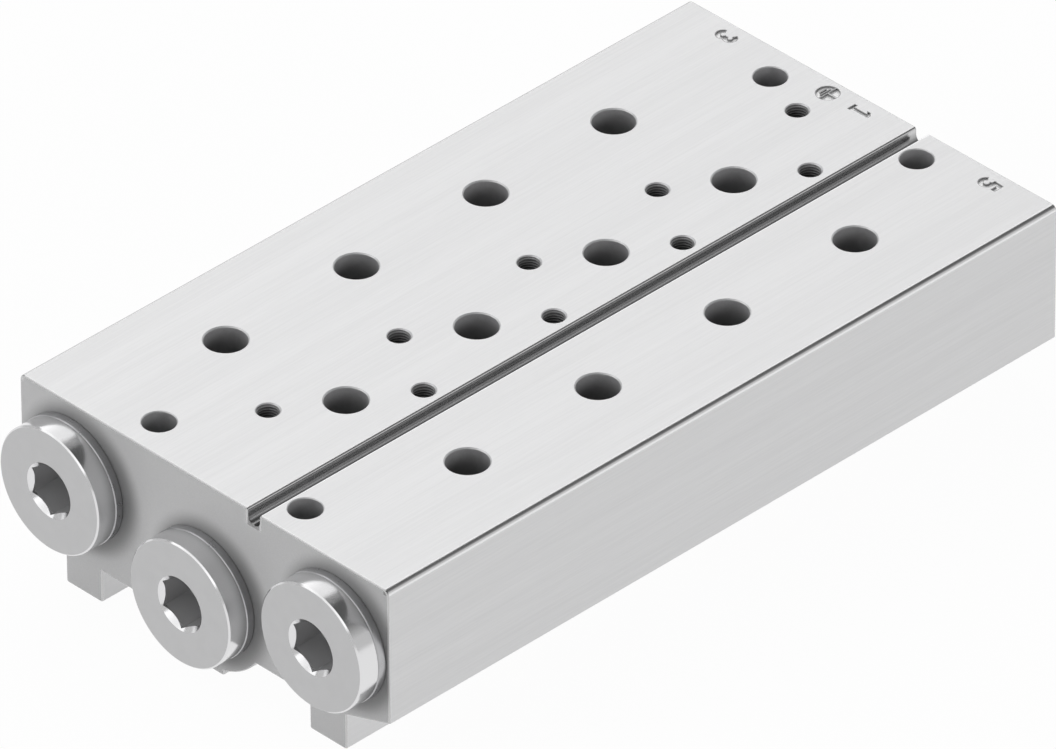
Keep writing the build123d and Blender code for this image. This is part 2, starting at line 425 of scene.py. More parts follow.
def rail_outline(bm, sizes):
    """The extruded section, with local Z up, in millimetres."""
    half, height = sizes.width / 2, sizes.height
    edge, lip = sizes.long_edge, sizes.groove_lip
    groove, radius = sizes.groove_offset, sizes.groove_width / 2
    floor = height - sizes.groove_depth + radius
    side_foot = sizes.foot_offset
    outside, inside = side_foot + sizes.foot_width / 2, side_foot - sizes.foot_width / 2
    corner, web = sizes.foot_corner, sizes.web_height
    bulge, bulge_z = sizes.bulge / 2, channel_places(sizes)["1"][1]
    middle = sizes.middle_foot / 2
    from_web = math.degrees(math.acos((bulge_z - web) / bulge))
    to_foot = math.degrees(math.asin(middle / bulge))
    web_x = bulge * math.sin(math.radians(from_web))
    side_bottom = height - sizes.side_wall
    edge_steps, groove_steps, bulge_steps = 10, 24, 12
    pen = Sketch(bm, -half, side_bottom)
    pen.line(-half, height - edge).arc(-half + edge, height - edge, 90, edge_steps)
    pen.line(groove - radius - lip, height).arc(groove - radius - lip, height - lip, 90)
    pen.line(groove - radius, floor).arc(groove, floor, -180, groove_steps)
    pen.line(groove + radius, height - lip).arc(groove + radius + lip, height - lip, 90)
    pen.line(half - edge, height).arc(half - edge, height - edge, 90, edge_steps).line(half, side_bottom)
    pen.line(outside, sizes.foot_height).line(outside, corner).arc(outside - corner, corner, 90)
    pen.line(inside + corner, 0).arc(inside + corner, corner, 90).line(inside, web).line(web_x, web)
    pen.arc(0, bulge_z, from_web - to_foot, bulge_steps).line(middle, corner).arc(middle - corner, corner, 90)
    pen.line(corner - middle, 0).arc(corner - middle, corner, 90)
    pen.line(-middle, bulge_z - bulge * math.cos(math.radians(to_foot)))
    pen.arc(0, bulge_z, from_web - to_foot, bulge_steps).line(-inside, web).line(-inside, corner)
    pen.arc(-inside - corner, corner, 90).line(corner - outside, 0).arc(corner - outside, corner, 90)
    pen.line(-outside, sizes.foot_height)
    return pen.close()


def extruded_rail(sizes):
    """The plain rail with the edges of its two ends rounded."""
    bm = bmesh.new()
    outline = rail_outline(bm, sizes)
    half, bevel = sizes.length / 2, sizes.end_edge
    bmesh.ops.translate(bm, verts=bm.verts[:], vec=(0, bevel - half, 0))
    extrude(bm, outline, 2 * (half - bevel))
    bmesh.ops.recalc_face_normals(bm, faces=bm.faces[:])
    ends = [face for face in bm.faces if abs(face.normal.y) > 0.9]
    steps = 4
    turns = [math.radians(90 * step / steps) for step in range(steps + 1)]
    for end in ends:
        for first, last in zip(turns, turns[1:]):
            inwards = bevel * (math.cos(first) - math.cos(last))
            outwards = bevel * (math.sin(last) - math.sin(first))
            bmesh.ops.inset_region(bm, faces=[end], thickness=inwards, depth=outwards, use_even_offset=True)
    return bm


def station_places(sizes):
    """The middle valve hole of each station along the rail."""
    pitch, count = sizes.station_pitch, sizes.group.stations
    return [pitch * (index - (count - 1) / 2) for index in range(count)]


def channel_cutters(sizes):
    """The three channels with their threaded ports: plain bores first, then the thread turns."""
    half = sizes.length / 2
    minor, major = sizes.port_minor / 2, sizes.port_major / 2
    depth, rim = sizes.port_length, major + sizes.port_mouth
    bore, pitch = sizes.channel / 2, sizes.port_pitch
    profile = [(0, half + PAST), (rim, half + PAST), (rim, half), (minor, half - rim + minor)]
    profile += [(minor, half - depth), (bore, half - depth - minor + bore)]
    profile += [(radius, -along) for radius, along in reversed(profile)]
    places = channel_places(sizes).values()
    bores = stamped((turned(profile, PORT_FACETS), [end_matrix(x, 0, z, 1) for x, z in places]))
    turns = thread_turns(port_tooth(minor, major, pitch), pitch, pitch, -depth, PORT_THREAD_STEPS)
    ends = [end_matrix(x, outward * half, z, outward) for x, z in places for outward in (-1, 1)]
    return bores, stamped((turns, ends))


def thread_space(inside, minor, major, wide, narrow):
    """Outline of a thread space from inside the crests; wide and narrow are half its width at both radii."""
    return [(inside, -wide), (inside, wide), (minor, wide), (major, narrow), (major, -narrow), (minor, -wide)]


def port_tooth(minor, major, pitch):
    """The space between two turns of a port's thread, as wide as the tooth half way up its flanks."""
    middle, slope = (minor + major) / 2, math.tan(math.radians(PORT_FLANK))
    wide = pitch / 4 + slope * (middle - minor)
    narrow = pitch / 4 - slope * (major - middle)
    return thread_space(minor - PAST_PORT_CREST, minor, major, wide, narrow)


def screw_tooth(minor, major, pitch):
    """The space between two turns of a small metric nut thread."""
    wide = 3 * pitch / 8
    narrow = max(wide - math.tan(math.radians(SCREW_FLANK)) * (major - minor), pitch / 16)
    return thread_space(minor - PAST_SCREW_CREST, minor, major, wide, narrow)


def valve_hole_cutters(sizes):
    """The holes from the valve face into the channels, and the four mounting holes."""
    height, half = sizes.height, sizes.length / 2
    radius, edge = sizes.valve_hole / 2, sizes.valve_hole_edge
    across, stagger = sizes.valve_spacing, sizes.valve_stagger
    outer, middle = sizes.outer_depth, sizes.middle_depth
    stations, sides = station_places(sizes), (-1, 1)
    middle_row = [Matrix.Translation((0, y, height)) for y in stations]
    outer_rows = [
        Matrix.Translation((side * across, y + side * stagger, height)) for y in stations for side in sides
    ]
    supply = turned(hole_profile(radius, middle, radius + edge), VALVE_HOLE_FACETS)
    exhaust = turned(hole_profile(radius, outer, radius + edge), VALVE_HOLE_FACETS)
    radius, edge = sizes.mounting_hole / 2, sizes.mounting_edge
    x, y = sizes.mounting_x, half - sizes.mounting_from_end
    corners = [Matrix.Translation((side * x, end * y, height)) for side in sides for end in (-1, 1)]
    bolt = turned(hole_profile(radius, height + PAST, radius + edge), MOUNTING_HOLE_FACETS)
    return stamped((supply, middle_row), (exhaust, outer_rows), (bolt, corners))


def screw_places(sizes):
    """The earthing screw hole, then two valve screw holes to a station."""
    across, along = sizes.screw_x, sizes.screw_y
    places = [(-across, sizes.length / 2 - sizes.earth_from_end)]
    for y in station_places(sizes):
        places += [(-across, y - along), (across, y + along)]
    return places


def screw_cutters(sizes):
    """The tapped holes: drilled holes first, then the thread turns."""
    height, pitch = sizes.height, sizes.screw_pitch
    minor, major = sizes.screw_minor / 2, sizes.screw_major / 2
    rim, depth = major + sizes.screw_edge, sizes.screw_depth
    places = [Matrix.Translation((x, y, height)) for x, y in screw_places(sizes)]
    below = hole_profile(sizes.screw_core / 2, sizes.screw_core_depth, rim, DRILL_POINT)
    profile = hole_profile(minor, depth, rim)[:-1] + below[-2:]
    turns = thread_turns(screw_tooth(minor, major, pitch), pitch, pitch, -depth, SCREW_THREAD_STEPS)
    return stamped((turned(profile, SCREW_HOLE_FACETS), places)), stamped((turns, places))


def arc_points(x, y, radius, first, last, steps=18):
    """Points on an arc, from one bearing to another in degrees."""
    bearings = [math.radians(first + (last - first) * step / steps) for step in range(steps + 1)]
    return [(x + radius * math.cos(bearing), y + radius * math.sin(bearing)) for bearing in bearings]


def band(points, width):
    """The outline of a band of even width along a line of points, with mitred joins."""
    points = [Vector(point) for point in points]
    runs = [(after - before).normalized() for before, after in zip(points, points[1:])]
    left, right = [], []
    for point, before, after in zip(points, [runs[0]] + runs, runs + [runs[-1]]):
        along = (before + after).normalized()
        side = Vector((-along.y, along.x)) * (width / 2 / along.dot(after))
        left.append(point + side)
        right.append(point - side)
    return left + right[::-1]


def grown(outline, margin):
    """A closed outline, drawn clockwise, moved outwards by the margin."""
    points = [Vector(point) for point in outline]
    moved = []
    for before, point, after in zip([points[-1]] + points, points, points[1:] + points[:1]):
        come, go = (point - before).normalized(), (after - point).normalized()
        along = (come + go).normalized()
        moved.append(point + Vector((-along.y, along.x)) * (margin / along.dot(go)))
    return moved


def prism(outline, depth):
    """An upright tool with an outline in the X-Y plane, that reaches the depth above and below it."""
    bm = bmesh.new()
    upright = Matrix.Rotation(math.radians(-90), 3, "X")
    extrude(bm, drawn(bm, outline).close(), 2 * depth)
    bmesh.ops.translate(bm, verts=bm.verts[:], vec=(0, -depth, 0))
    bmesh.ops.rotate(bm, verts=bm.verts[:], cent=(0, 0, 0), matrix=upright)
    bmesh.ops.recalc_face_normals(bm, faces=bm.faces[:])
    return bm


def block(width, low_y, high_y, depth):
    """A rectangular tool, centred across, that reaches the given depth above and below Z = 0."""
    bm = bmesh.new()
    size = Matrix.Diagonal((width, high_y - low_y, 2 * depth, 1))
    bmesh.ops.create_cube(bm, size=1, matrix=Matrix.Translation((0, (low_y + high_y) / 2, 0)) @ size)
    return bm


def one_outline(height):
    """The figure one, with a foot bar and a flag, its middle at the origin."""
    foot, top = 0.42, 3.85
    outline = ((-0.75, 0), (-0.75, foot), (-0.1, foot), (-0.1, 3.3), (-0.72, 2.8), (-0.72, 3.3))
    outline += ((-0.1, top), (0.4, top), (0.4, foot), (0.75, foot), (0.75, 0))
    grow = height / top
    return [(x * grow, y * grow - height / 2) for x, y in outline]


def earth_sign_cutter(depth, margin):
    """A round recess, larger by a margin; the earth sign's stem and three bars are left standing in it."""
    bm = bmesh.new()
    disc_radius = 1.92
    radius = disc_radius + margin
    bmesh.ops.create_cone(
        bm, cap_ends=True, segments=SIGN_FACETS, radius1=radius, radius2=radius, depth=2 * depth
    )
    recess = mesh_object("recess", bm)
    # Half width, lower edge and upper edge of each; the stem and the first bar run out through the rim.
    stem = (0.17, 0, 3)
    bars = ((3, -0.16, 0.1), (1.1, -0.62, -0.38), (0.7, -1.14, -0.9))
    for half_width, low, high in (stem, *bars):
        cut_out(recess, block(2 * (half_width - margin), low + margin, high - margin, depth + PAST))
    bm = bmesh.new()
    bm.from_mesh(recess.data)
    bpy.data.meshes.remove(recess.data)
    return bm


def sign_cutters(sizes):
    """The engraved port numbers and the earth sign near the far end, read from the -X side.

    A shallow step round every line comes first, then the signs at their full depth. The figures three and
    five are each made of two bands that overlap, so both goes come in two parts.
    """
    height, line = sizes.sign_height, sizes.sign_line
    y = sizes.length / 2 - sizes.sign_from_end
    top = (height - line) / 2
    upper, lower, bowl = top * 0.515, top * 0.545, top * 0.59
    three, one, five = (channel_places(sizes)[port][0] for port in "315")
    one_shift = 0.7
    first = [
        (band(arc_points(0.02, top - upper, upper, 160, -80), line), three),
        (one_outline(height), one + one_shift),
        (band([(0.56 * top, top), (-0.37 * top, top), (-0.45 * top, 0.07 * top)], line), five),
    ]
    second = [
        (band(arc_points(0, lower - top, lower, 80, -160), line), three),
        (band(arc_points(0, bowl - top, bowl, 125, -150), line), five),
    ]
    turn = Matrix.Rotation(math.radians(-90), 4, "Z")
    cutters = []
    for margin, depth in ((sizes.sign_edge, sizes.sign_step), (0, sizes.sign_depth)):
        for outlines in (first, second):
            signs = [(prism(grown(outline, margin), depth), x) for outline, x in outlines]
            if outlines is first:
                signs.append((earth_sign_cutter(depth, margin), -sizes.screw_x))
            placed = [(bm, [Matrix.Translation((x, y, sizes.height)) @ turn]) for bm, x in signs]
            cutters.append(stamped(*placed))
    return cutters


def plug_body(plug, rail, ring_thickness):
    """A screw plug about local Z, the head's seat at Z = 0 and the threaded shank below."""
    head, thick = plug.head / 2, plug.head_thickness
    front, back = plug.front_chamfer, plug.back_chamfer
    play, pitch = plug.clearance, rail.port_pitch
    major, minor = rail.port_major / 2 - play, rail.port_minor / 2 - play
    neck, neck_end = plug.neck / 2, -plug.neck_length
    tip, tip_chamfer = -plug.shank, plug.tip_chamfer
    profile = [(0, thick), (head - front, thick), (head, thick - front), (head, back), (head - back, 0)]
    profile += [(neck, 0), (neck, neck_end), (major, neck_end - major + neck), (major, tip + tip_chamfer)]
    profile += [(major - tip_chamfer, tip), (0, tip)]
    piece = mesh_object("plug", turned(profile, HEAD_FACETS))
    space = port_tooth(minor, major, pitch)
    wide, narrow = pitch / 2 - space[2][1], pitch / 2 - space[3][1]
    outside = major + PAST_PORT_CREST
    groove = [(minor, -wide), (minor, wide), (major, narrow)]
    groove += [(outside, narrow), (outside, -narrow), (major, -narrow)]
    top = -pitch / 2 - ring_thickness
    cut_out(piece, thread_turns(groove, pitch, top, tip - pitch, PLUG_THREAD_STEPS))
    return piece


def key_socket_cutters(plug):
    """The key socket below Z = 0: a hexagon with corners up and down, a drilled floor and a mouth cone."""
    across, depth, mouth = plug.key, plug.key_depth, plug.mouth / 2
    corner = across / 2 / math.cos(math.radians(30))
    hexagon = bmesh.new()
    middle = Matrix.Translation((0, 0, (PAST - depth) / 2))
    bmesh.ops.create_cone(
        hexagon, cap_ends=True, segments=6, radius1=corner, radius2=corner, depth=depth + PAST, matrix=middle
    )
    drilled = turned(hole_profile(across / 2, depth, across / 2, DRILL_POINT), SOCKET_FLOOR_FACETS)
    cone = turned([(0, PAST), (mouth + PAST, PAST), (0, -mouth)], SOCKET_MOUTH_FACETS)
    return hexagon, drilled, cone


class Wire:
    """One output of a shader node, or of several sums on it, that ordinary Python sums can use."""

    def __init__(self, graph, socket):
        self.graph, self.socket = graph, socket

    def maths(self, operation, first, second=None):
        """A Math node on one or two values."""
        sockets = {0: first} if second is None else {0: first, 1: second}
        return self.graph.node("ShaderNodeMath", {"operation": operation}, sockets)

    def __add__(self, other):
        return self.maths("ADD", self, other)

    __radd__ = __add__

    def __mul__(self, other):
        return self.maths("MULTIPLY", self, other)

    __rmul__ = __mul__

    def __sub__(self, other):
        return self.maths("SUBTRACT", self, other)

    def __rsub__(self, other):
        return self.maths("SUBTRACT", other, self)

    def __pow__(self, other):
        return self.maths("POWER", self, other)

    def __abs__(self):
        return self.maths("ABSOLUTE", self)

    def over(self, other):
        """The larger of two."""
        return self.maths("MAXIMUM", self, other)

    def rise(self, low, high, bottom=0.0, top=1.0):
        """A smooth step from bottom to top as the value goes from low to high."""
        settings = {"interpolation_type": "SMOOTHSTEP"}
        sockets = {"Value": self, "From Min": low, "From Max": high, "To Min": bottom, "To Max": top}
        return self.graph.node("ShaderNodeMapRange", settings, sockets)


class Graph:
    """Adds nodes to a material or world."""

    def __init__(self, owner):
        owner.use_nodes = True
        self.tree = owner.node_tree
        self.tree.nodes.clear()

    def node(self, kind, settings=None, sockets=None, output=0):
        """Adds a node, makes its settings, then fills its sockets with values or links."""
        made = self.tree.nodes.new(kind)
        for name, value in (settings or {}).items():
            setattr(made, name, value)
        for name, value in (sockets or {}).items():
            if isinstance(value, Wire):
                self.tree.links.new(value.socket, made.inputs[name])
            else:
                made.inputs[name].default_value = value
        return Wire(self, made.outputs[output]) if made.outputs else None

    def place(self, shift=(0, 0, 0), stretch=(1, 1, 1)):
        """Object coordinates in millimetres, shifted and then stretched."""
        where = self.node("ShaderNodeTexCoord", output="Object")
        scale = tuple(factor / MM for factor in stretch)
        location = tuple(-offset * factor for offset, factor in zip(shift, stretch))
        return self.node("ShaderNodeMapping", {}, {"Vector": where, "Location": location, "Scale": scale})

    def axes(self, vector):
        """The three components of a vector."""
        split = self.node("ShaderNodeSeparateXYZ", {}, {"Vector": vector}).socket.node
        return [Wire(self, output) for output in split.outputs]

    def noise(self, vector, scale, detail=2.0, roughness=0.5):
        """Noise about one half; the scale is in features to the millimetre."""
        sockets = {"Vector": vector, "Scale": scale, "Detail": detail, "Roughness": roughness}
        return self.node("ShaderNodeTexNoise", {}, sockets)

    def blend(self, factor, one, other):
        """A colour between two."""
        sockets = {0: factor, 6: one, 7: other}
        return self.node("ShaderNodeMix", {"data_type": "RGBA"}, sockets, output=2)

    def about_axis(self, centre):
        """Distance from an axis along Y through the centre, and the place along it."""
        x, y, z = self.axes(self.place(shift=centre))
        return (x * x + z * z) ** 0.5, y

    def turning_marks(self, radius, along, scale):
        """Noise in fine rings round an axis, as a turning tool leaves them."""
        rings = self.node("ShaderNodeCombineXYZ", {}, {"X": radius, "Y": along})
        return self.noise(rings, scale, 2.0, 0.6)

    def metal(self, base, roughness, metallic, height, relief):
        """Ends the material with a metal shader; relief is the bump's height in millimetres."""
        bump = self.node("ShaderNodeBump", {}, {"Strength": 1.0, "Distance": relief * MM, "Height": height})
        sockets = {"Base Color": base, "Roughness": roughness, "Metallic": metallic, "Normal": bump}
        shader = self.node("ShaderNodeBsdfPrincipled", {}, sockets)
        self.node("ShaderNodeOutputMaterial", {}, {"Surface": shader})


def shade(tint, factor):
    """A colour, lighter or darker, as a shader socket takes it."""
    return tuple(min(1.0, channel * factor) for channel in tint) + (1.0,)


def new_material(name):
    """An empty material and the graph that fills it."""
    material = bpy.data.materials.new(name)
    return material, Graph(material)


def anodised_rail(sizes, tint, ring_radius):
    """Clear anodised extrusion: streaks along the rail, burnished edges and duller end faces, with painted
    shade in the groove, on the left long edge, on the end edges and round the sealing rings.
    """
    material, graph = new_material("rail_aluminium_anodised")
    fine = graph.noise(graph.place(stretch=(1, 0.012, 1)), 2.6, 3.0, 0.65)
    hair = graph.noise(graph.place(stretch=(1, 0.03, 1)), 7.0, 2.0)
    bands = graph.noise(graph.place(stretch=(1, 0.01, 1)), 0.25, 1.0)
    grain = graph.noise(graph.place(), 9.0, 2.0)
    x, y, z = graph.axes(graph.place())
    half_width, half_length, height = sizes.width / 2, sizes.length / 2, sizes.height
    edge, end_edge = sizes.long_edge, sizes.end_edge
    on_side_edges = abs(x).rise(half_width - edge, half_width - 0.9 * edge)
    long_edges = on_side_edges * z.rise(height - edge, height - 0.9 * edge)
    end_faces = abs(y).rise(half_length - 0.02, half_length - 0.01)
    end_edges = abs(y).rise(half_length - end_edge, half_length - 0.9 * end_edge) * (1 - end_faces)
    from_groove = abs(x - sizes.groove_offset)
    radius, lip = sizes.groove_width / 2, sizes.groove_lip
    under_groove = height - sizes.groove_depth - 0.5
    high = z.rise(under_groove, under_groove + 0.2)
    lips = (1 - from_groove.rise(radius + 0.9 * lip, radius + lip)) * high
    groove = (1 - from_groove.rise(radius - 0.01, radius + 0.12)) * high
    depth_shade = 1 - z.rise(height - 1.7, height - 0.5)
    worn = (long_edges.over(lips) * bands.rise(0.1, 0.5, 0.85, 1.0)).over(end_edges)
    streaks = fine * 0.6 + hair * 0.4
    tone = (streaks * 0.75 + bands * 0.25).rise(0.3, 0.7)
    base = graph.blend(tone, shade(tint, 0.95), shade(tint, 1.03))
    shaded_left_edge, right_edge, end_edge_shade = shade(tint, 0.73), shade(tint, 1.04), shade(tint, 0.66)
    # Painted shade: the burnished left long edge takes a darker tint than the right one.
    base = graph.blend(worn, base, graph.blend(x.rise(-1, 1), shaded_left_edge, right_edge))
    # Painted shade: the rounded end edges are darkened, which tones down their highlight and draws a grey
    # line along them.
    base = graph.blend(end_edges, base, end_edge_shade)
    sawn = graph.blend(grain.rise(0.3, 0.7), shade(tint, 0.77), shade(tint, 0.83))
    base = graph.blend(end_faces, base, sawn)
    painted_groove_shade, painted_shadow_tint = shade(tint, 0.12), shade(tint, 0.1)
    # Painted shade down the groove, darker the deeper it goes.
    base = graph.blend(groove * (0.32 + depth_shade * 0.25), base, painted_groove_shade)
    # Painted shadow: the near end face is darkened round each sealing ring, and more so on its right, as the
    # plug heads' contact shadow.
    shift_x, shift_z, strength = 1.5, 0.5, 0.58
    inner, outer = ring_radius - 0.4, ring_radius + 3.2
    painted_ring_shadow = None
    for port_x, port_z in channel_places(sizes).values():
        apart = ((x - port_x - shift_x) ** 2.0 + (z - port_z - shift_z) ** 2.0) ** 0.5
        one_ring_shadow = 1 - apart.rise(inner, outer)
        painted_ring_shadow = one_ring_shadow if painted_ring_shadow is None else painted_ring_shadow.over(one_ring_shadow)
    near = 1 - y.rise(0.1 - half_length, 0.2 - half_length)
    base = graph.blend(painted_ring_shadow * near * strength, base, painted_shadow_tint)
    roughness = 0.4 + (streaks - 0.5) * 0.2 - worn * 0.2 + end_faces * 0.04
    metallic = 0.5 + worn.over(groove) * 0.5 - end_faces * 0.38
    texture = (streaks * 0.85 + grain * 0.15) * (1 - worn.over(groove) * 0.9)
    graph.metal(base, roughness, metallic, texture, 0.005)
    return material


def cut_aluminium(name, sizes, tint):
    """Drilled and tapped aluminium: bare, with marks of the tool, and with painted shade down the holes of
    the valve face.
    """
    material, graph = new_material(name)
    marks = graph.noise(graph.place(stretch=(0.05, 1, 1)), 5.0, 2.0)
    cloud = graph.noise(graph.place(), 0.6, 2.0)
    y, z = graph.axes(graph.place())[1:]
    height = sizes.height
    port_end, port_top = sizes.length / 2 - sizes.port_length - 1.5, height - 5.4
    ports = abs(y).rise(port_end, port_end + 0.5) * (1 - z.rise(port_top, port_top + 0.3))
    # Painted shade: darker below the valve face, except in the ports at the ends.
    depth_shade = (1 - z.rise(height - 3.6, height - 0.2)) * (1 - ports)
    base = graph.blend((marks * 0.5 + cloud * 0.5).rise(0.3, 0.7), shade(tint, 0.9), shade(tint, 1.0))
    base = graph.blend(depth_shade * 0.6, base, shade(tint, 0.2))
    roughness, metallic = 0.38 + (cloud - 0.5) * 0.2, 0.6 + (cloud - 0.5) * 0.1
    graph.metal(base, roughness, metallic, marks, 0.004)
    return material


def engraved_aluminium(sizes, tint):
    """Milled signs: a floor with fine cutter marks, lit up nearly to white, partly as bare milled metal and
    partly as a painted highlight, and walls darkened with painted shade.
    """
    material, graph = new_material("rail_aluminium_engraved")
    marks = graph.noise(graph.place(), 4.0, 2.0)
    z = graph.axes(graph.place())[2]
    floor = sizes.height - sizes.sign_depth
    walls = z.rise(floor + 0.01, floor + 0.03)
    # The floor is lightened, partly a painted highlight; the walls above it take painted shade.
    base = graph.blend(marks.rise(0.3, 0.7), shade(tint, 1.2), shade(tint, 1.28))
    base = graph.blend(walls, base, shade(tint, 0.4))
    roughness, metallic = 0.35 + (marks - 0.5) * 0.2, 0.35 + walls * 0.3
    graph.metal(base, roughness, metallic, marks, 0.002)
    return material


def plated_steel(name, tint, centre, head_radius, socket):
    """A plated screw plug, turned about an axis along Y: a smooth face, a polished rim and socket mouth."""
    material, graph = new_material(name)
    radius, y = graph.about_axis(centre)
    rings = graph.turning_marks(radius, y, 6.0)
    cloud = graph.noise(graph.place(), 0.35, 2.0)
    speck = graph.noise(graph.place(), 7.0, 2.0)
    rim = radius.rise(head_radius - 0.32, head_radius - 0.2)
    inner = 1 - radius.rise(socket - 0.03, socket)
    inside = inner * y.rise(0.75, 0.9)
    base = graph.blend((rings * 0.4 + cloud * 0.6).rise(0.25, 0.75), shade(tint, 0.96), shade(tint, 1.03))
    polished = rim.over(inner)
    base = graph.blend(polished, base, shade(tint, 1.41))
    base = graph.blend(inside, base, shade(tint, 1.0))
    roughness = 0.36 + (cloud - 0.5) * 0.12 + (speck - 0.5) * 0.06 - polished * 0.2 + inside * 0.26
    metallic = 0.88 + polished * 0.12 - inside * 0.4
    texture = (rings * 0.7 + speck * 0.3) * (1 - polished * 0.85)
    graph.metal(base, roughness, metallic, texture, 0.003)
    return material


def turned_ring(name, tint, centre):
    """A plain turned sealing ring about an axis along Y, a little dull."""
    material, graph = new_material(name)
    rings = graph.turning_marks(*graph.about_axis(centre), 8.0)
    cloud = graph.noise(graph.place(), 0.5, 2.0)
    base = graph.blend((rings * 0.5 + cloud * 0.5).rise(0.25, 0.75), shade(tint, 0.9), shade(tint, 1.06))
    roughness, metallic = 0.3 + (cloud - 0.5) * 0.15, 0.85 + (cloud - 0.5) * 0.1
    graph.metal(base, roughness, metallic, rings, 0.003)
    return material


def seat(obj, matrix, node, materials):
    """Places a piece, finishes it, gives it its materials and lets it stand for its CAD node."""
    obj.data.transform(matrix)
    finish_mesh(obj)
    # Cutting leaves one empty slot on the mesh, which the first material takes.
    slots = obj.data.materials
    while len(slots) < len(materials):
        slots.append(None)
    for number, material in enumerate(materials):
        slots[number] = material
    obj.name = obj.data.name = node + "_piece"
    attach(obj, "root")
    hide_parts(node)


class VALVEBLOCK_OT_rail(bpy.types.Operator):
    """Models the rail with its channels, ports, valve holes, threads and engraved signs"""

    bl_idname = "valve_block.rail"
    bl_label = "Make rail"
    bl_options = {"REGISTER", "UNDO"}

    def execute(self, context):
        sizes, ring = Millimetres(context.scene.valve_rail), Millimetres(context.scene.valve_ring)
        tints = context.scene.valve_finishes
        rail = mesh_object("rail", extruded_rail(sizes))
        for bores, turns in (channel_cutters(sizes), screw_cutters(sizes)):
            cut_out(rail, bores, DRILLED)
            cut_out(rail, turns, FLANKS)
        cut_out(rail, valve_hole_cutters(sizes), DRILLED)
        for cutter in sign_cutters(sizes):
            cut_out(rail, cutter, ENGRAVED)
        # The thread flanks take a darker copy of the drilled finish: painted shade between the thread turns.
        shaded = [0.4 * channel for channel in tints.cut]
        finishes = [
            anodised_rail(sizes, tints.rail, ring.outside / 2),
            cut_aluminium("rail_aluminium_drilled", sizes, tints.cut),
            engraved_aluminium(sizes, tints.rail),
            cut_aluminium("rail_aluminium_thread_flanks", sizes, shaded),
        ]
        seat(rail, Matrix.Identity(4), "valve_block_body", finishes)
        return {"FINISHED"}


class VALVEBLOCK_OT_plugs(bpy.types.Operator):
    """Models the three hex socket screw plugs in the near end"""

    bl_idname = "valve_block.plugs"
    bl_label = "Make screw plugs"
    bl_options = {"REGISTER", "UNDO"}

    def execute(self, context):
        rail, plug = Millimetres(context.scene.valve_rail), Millimetres(context.scene.valve_plug)
        thickness = Millimetres(context.scene.valve_ring).thickness
        tint = context.scene.valve_finishes.steel
        seat_y, head_thickness = -rail.length / 2 - thickness, plug.head_thickness
        for port, (x, z) in channel_places(rail).items():
            piece = plug_body(plug, rail, thickness)
            for cutter in key_socket_cutters(plug):
                bmesh.ops.translate(cutter, verts=cutter.verts[:], vec=(0, 0, head_thickness))
                cut_out(piece, cutter)
            place = end_matrix(x, seat_y, z, -1)
            centre = (x, seat_y - head_thickness, z)
            steel = plated_steel(f"plated_steel_port_{port}", tint, centre, plug.head / 2, plug.mouth / 2)
            seat(piece, place, f"screw_plug_port_{port}", [steel])
        return {"FINISHED"}


class VALVEBLOCK_OT_rings(bpy.types.Operator):
    """Models the flat sealing rings under the plug heads"""

    bl_idname = "valve_block.rings"
    bl_label = "Make sealing rings"
    bl_options = {"REGISTER", "UNDO"}

    def execute(self, context):
        rail, ring = Millimetres(context.scene.valve_rail), Millimetres(context.scene.valve_ring)
        tint = context.scene.valve_finishes.ring
        outside, thick, edge = ring.outside / 2, ring.thickness, ring.edge
        thread = rail.port_major / 2 - Millimetres(context.scene.valve_plug).clearance
        bore = thread + ring.bore_clearance
        near = -rail.length / 2
        profile = [(bore, 0), (outside - edge, 0), (outside, edge), (outside, thick - edge)]
        profile += [(outside - edge, thick), (bore, thick)]
        for port, (x, z) in channel_places(rail).items():
            piece = mesh_object("ring", turned(profile, HEAD_FACETS, hollow=True))
            place = end_matrix(x, near, z, -1)
            metal = turned_ring(f"ring_aluminium_port_{port}", tint, (x, near, z))
            seat(piece, place, f"sealing_ring_port_{port}", [metal])
        return {"FINISHED"}


def camera_matrix(stage):
    """The camera on its bearing round the aimed point, turned about its own axis by the roll."""
    bearing, height = stage.azimuth, stage.elevation
    level = math.cos(height)
    back = Vector((math.sin(bearing) * level, -math.cos(bearing) * level, math.sin(height)))
    turn = back.to_track_quat("Z", "Y").to_matrix().to_4x4()
    place = Matrix.Translation(Vector(stage.aim) + back * stage.distance)
    return place @ turn @ Matrix.Rotation(stage.roll, 4, "Z")


def add_camera(scene, stage):
    """The scene's camera, with the photograph's view."""
    camera = bpy.data.cameras.new("camera")
    camera.lens, camera.sensor_width = stage.lens, 36.0
    camera.clip_start, camera.clip_end = 0.05, 50.0
    obj = bpy.data.objects.new("camera", camera)
    obj.matrix_world = camera_matrix(stage)
    scene.collection.objects.link(obj)
    scene.camera = obj


def add_lamp(name, watts, width, height, place, target, mirrored=True):
    """A rectangular area lamp that faces the target; polished metal mirrors it or leaves it out."""
    lamp = bpy.data.lights.new(name, "AREA")
    lamp.shape = "RECTANGLE"
    lamp.energy, lamp.size, lamp.size_y = watts, width, height
    obj = bpy.data.objects.new(name, lamp)
    towards = (Vector(target) - Vector(place)).to_track_quat("-Z", "Y")
    obj.matrix_world = Matrix.Translation(place) @ towards.to_matrix().to_4x4()
    obj.visible_glossy = mirrored
    bpy.context.scene.collection.objects.link(obj)


def seen_directly(graph):
    """One for what the camera sees, also in metal and through glass, and nought for other light."""
    path = graph.node("ShaderNodeLightPath").socket.node
    rays = ("Is Camera Ray", "Is Glossy Ray", "Is Transmission Ray")
    camera, glossy, through = (Wire(graph, path.outputs[name]) for name in rays)
    return camera.over(glossy).over(through)


